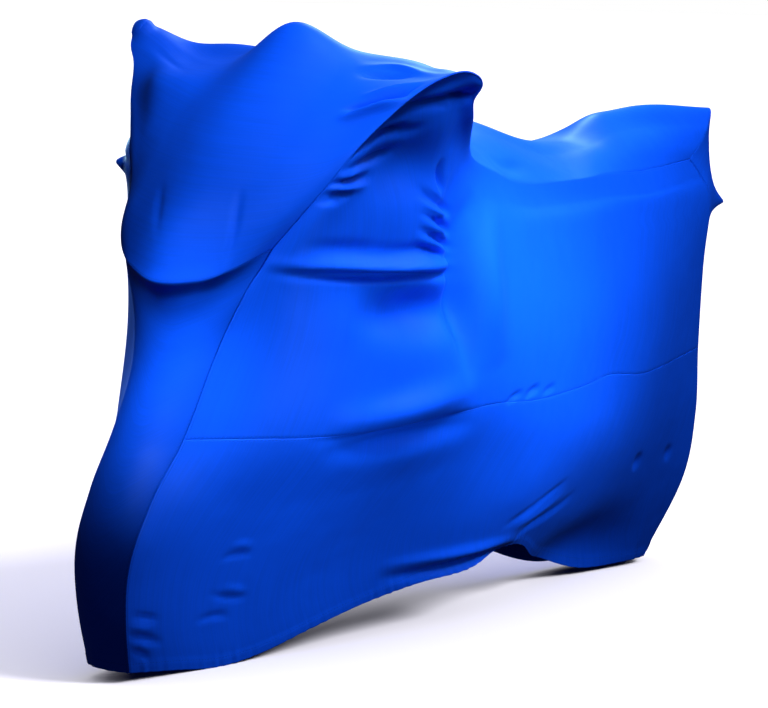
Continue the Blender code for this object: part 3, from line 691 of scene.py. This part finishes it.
# Studio: a plain floor painted matt white, which the cloth neither mirrors nor is lit by, and a
# white backdrop that only the camera sees. The cloth gets the dim blue of the room instead.
FLOOR_HALF_WIDTH = 30
floor_mesh = bmesh.new()
bmesh.ops.create_grid(floor_mesh, x_segments=1, y_segments=1, size=FLOOR_HALF_WIDTH)
floor_data = bpy.data.meshes.new("studio_floor")
floor_mesh.to_mesh(floor_data)
floor_mesh.free()
floor = bpy.data.objects.new("studio_floor", floor_data)
bpy.context.scene.collection.objects.link(floor)
floor.visible_diffuse = False
floor.visible_glossy = False
paint = bpy.data.materials.new("matt_white_paint")
paint.use_nodes = True
paint_shader = paint.node_tree.nodes["Principled BSDF"]
paint_shader.inputs["Base Color"].default_value = (*linear("f3f3f6"), 1)
paint_shader.inputs["Roughness"].default_value = 0.9
floor_data.materials.append(paint)

world = bpy.data.worlds.new("studio_backdrop")
bpy.context.scene.world = world
world.use_nodes = True
world_tree = world.node_tree
room = world_tree.nodes["Background"]
room.inputs["Color"].default_value = (*linear("b8c8ff"), 1)
room.inputs["Strength"].default_value = 0.03
backdrop = add_node(world_tree, "ShaderNodeBackground", {"Color": (1, 1, 1, 1), "Strength": 1.0})
seen = add_node(world_tree, "ShaderNodeLightPath")
both = add_node(world_tree, "ShaderNodeMixShader", links={
    0: seen.outputs["Is Camera Ray"], 1: room.outputs[0], 2: backdrop.outputs[0]})
world_tree.links.new(both.outputs[0], world_tree.nodes["World Output"].inputs["Surface"])

# Lamps: round softboxes and spots, with grids that narrow their light and black flags that keep it
# off some of the panels. They light only the cloth, and the floor has two suns of its own.

# Columns: name, place, what it faces, width, power, spread of its grid in degrees, panels lit
LAMPS = (
    ("nose softbox", (-1.50, -1.00, 1.90), (-0.60, -0.12, 1.10), 0.6, 1.1, 50, "all"),
    ("nose softbox above", (-1.10, -0.80, 2.40), (-0.55, -0.12, 1.10), 0.6, 1.2, 50, "all"),
    ("top softbox", (0.00, -0.60, 2.70), (0.00, -0.20, 0.65), 0.8, 10.0, 120, "all"),
    ("key softbox", (0.70, -0.95, 1.80), (0.15, -0.20, 0.65), 0.6, 7.2, 120, "not the front strip"),
    ("back softbox", (1.20, 0.70, 2.30), (0.50, 0.00, 1.00), 0.6, 12.0, 90, "all"),
    ("low front fill", (-0.80, -1.30, 0.50), (-0.65, -0.15, 0.40), 0.4, 1.1, 66, "not the front strip"),
    ("side fill", (0.40, -1.40, 1.40), (0.35, -0.20, 0.70), 0.5, 3.2, 110, "not the front strip"),
    ("knee spot", (-0.70, -1.30, 1.60), (-0.11, -0.25, 0.80), 0.4, 1.3, 24, "not the front strip"),
    ("fairing spot", (-0.80, -1.00, 1.70), (-0.62, -0.20, 0.58), 0.4, 0.5, 30, "not the front strip"),
    ("belly spot", (0.50, -1.50, 1.30), (0.24, -0.22, 0.44), 0.4, 0.9, 32, "not the front strip"),
    ("strip spot", (-1.60, -0.20, 1.70), (-0.86, -0.03, 0.58), 0.3, 0.5, 18, "all"),
    ("right side softbox", (0.60, 2.60, 1.60), (0.00, 0.30, 0.60), 1.4, 26.0, 110, "right and rear"),
)
LAMP_TINT = (0.45, 0.85, 1.0)
PANEL_GROUPS = ("all", "not the front strip", "right and rear")

# One sun throws the shadow, and a wide one comes from above. Columns: name, direction that it comes
# from, strength, width in degrees
FLOOR_SUNS = (
    ("floor lamp", (0.15, -1.16, 0.90), 3.6, 20),
    ("floor dome", (0.00, 0.00, 1.00), 3.2, 140),
)
SUN_TINT = (0.94, 0.92, 1.0)


def hang_lamp(lamp, place, back, lit):
    """Hang a lamp at a place, its back to a direction, so that it lights one collection."""
    holder = bpy.data.objects.new(lamp.name, lamp)
    holder.location = place
    holder.rotation_euler = Vector(back).to_track_quat("Z", "Y").to_euler()
    bpy.context.scene.collection.objects.link(holder)
    holder.light_linking.receiver_collection = lit


lit_panels = {word: bpy.data.collections.new(word) for word in PANEL_GROUPS}
for piece in bpy.context.scene.objects:
    if piece.name.endswith("_cloth"):
        lit_panels["all"].objects.link(piece)
        if not piece.name.startswith("front_strip"):
            lit_panels["not the front strip"].objects.link(piece)
        if "_right" in piece.name or piece.name.startswith("rear_strip"):
            lit_panels["right and rear"].objects.link(piece)
for name, place, faces, width, power, spread, panels in LAMPS:
    lamp = bpy.data.lights.new(name, "AREA")
    lamp.shape = "DISK"
    lamp.size = width
    lamp.energy = power
    lamp.color = LAMP_TINT
    lamp.spread = math.radians(spread)
    hang_lamp(lamp, place, Vector(place) - Vector(faces), lit_panels[panels])
lit_floor = bpy.data.collections.new("lit by the floor suns")
lit_floor.objects.link(floor)
for name, direction, strength, width in FLOOR_SUNS:
    sun = bpy.data.lights.new(name, "SUN")
    sun.energy = strength
    sun.angle = math.radians(width)
    sun.color = SUN_TINT
    hang_lamp(sun, (0, 0, 0), direction, lit_floor)
bpy.context.scene.view_settings.view_transform = "Standard"

# Camera: a long lens from the front left, a little above the belt seam. Azimuth and elevation are
# in degrees, the distance is in metres to the point aimed at, and the lens and film are in mm.
AZIMUTH = math.radians(-52)
ELEVATION = math.radians(6.8)
DISTANCE = 9
AIM = Vector((-0.0662, 0.1172, 0.5755))
LENS = 193.9
FILM_WIDTH = 36
FARTHEST_SEEN = 100
camera_data = bpy.data.cameras.new("camera")
camera_data.lens = LENS
camera_data.sensor_width = FILM_WIDTH
camera_data.clip_end = FARTHEST_SEEN
camera = bpy.data.objects.new("camera", camera_data)
back = Vector((math.sin(AZIMUTH) * math.cos(ELEVATION),
               -math.cos(AZIMUTH) * math.cos(ELEVATION), math.sin(ELEVATION)))
camera.location = AIM + back * DISTANCE
camera.rotation_euler = back.to_track_quat("Z", "Y").to_euler()
bpy.context.scene.collection.objects.link(camera)
bpy.context.scene.camera = camera
